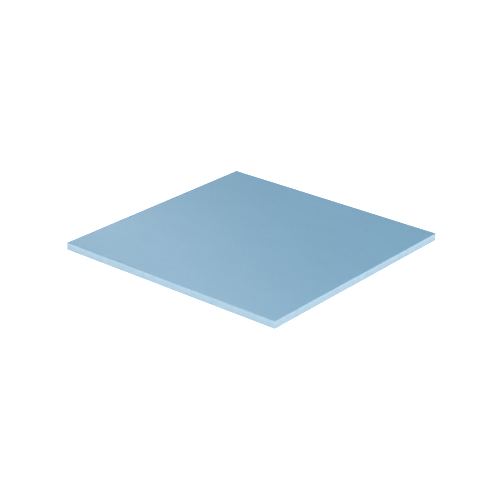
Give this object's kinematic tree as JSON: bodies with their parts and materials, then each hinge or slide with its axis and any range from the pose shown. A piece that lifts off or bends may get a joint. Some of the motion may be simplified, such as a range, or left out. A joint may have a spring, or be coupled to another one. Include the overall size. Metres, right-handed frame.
{
  "type": "thermal pad sheet",
  "caption": "Flat square slab of soft light blue filled silicone that carries heat from a component to a heatsink.",
  "frame": {"origin": "centre of the lower contact face", "axes": "+Z out of the upper contact face, +X along the sheet's length, +Y across its width"},
  "size_m": [0.05, 0.05, 0.0015],
  "materials": {
    "filled_silicone": "satin"
  },
  "bodies": {
    "root": {"pad_sheet": "filled_silicone"}
  },
  "joints": []
}
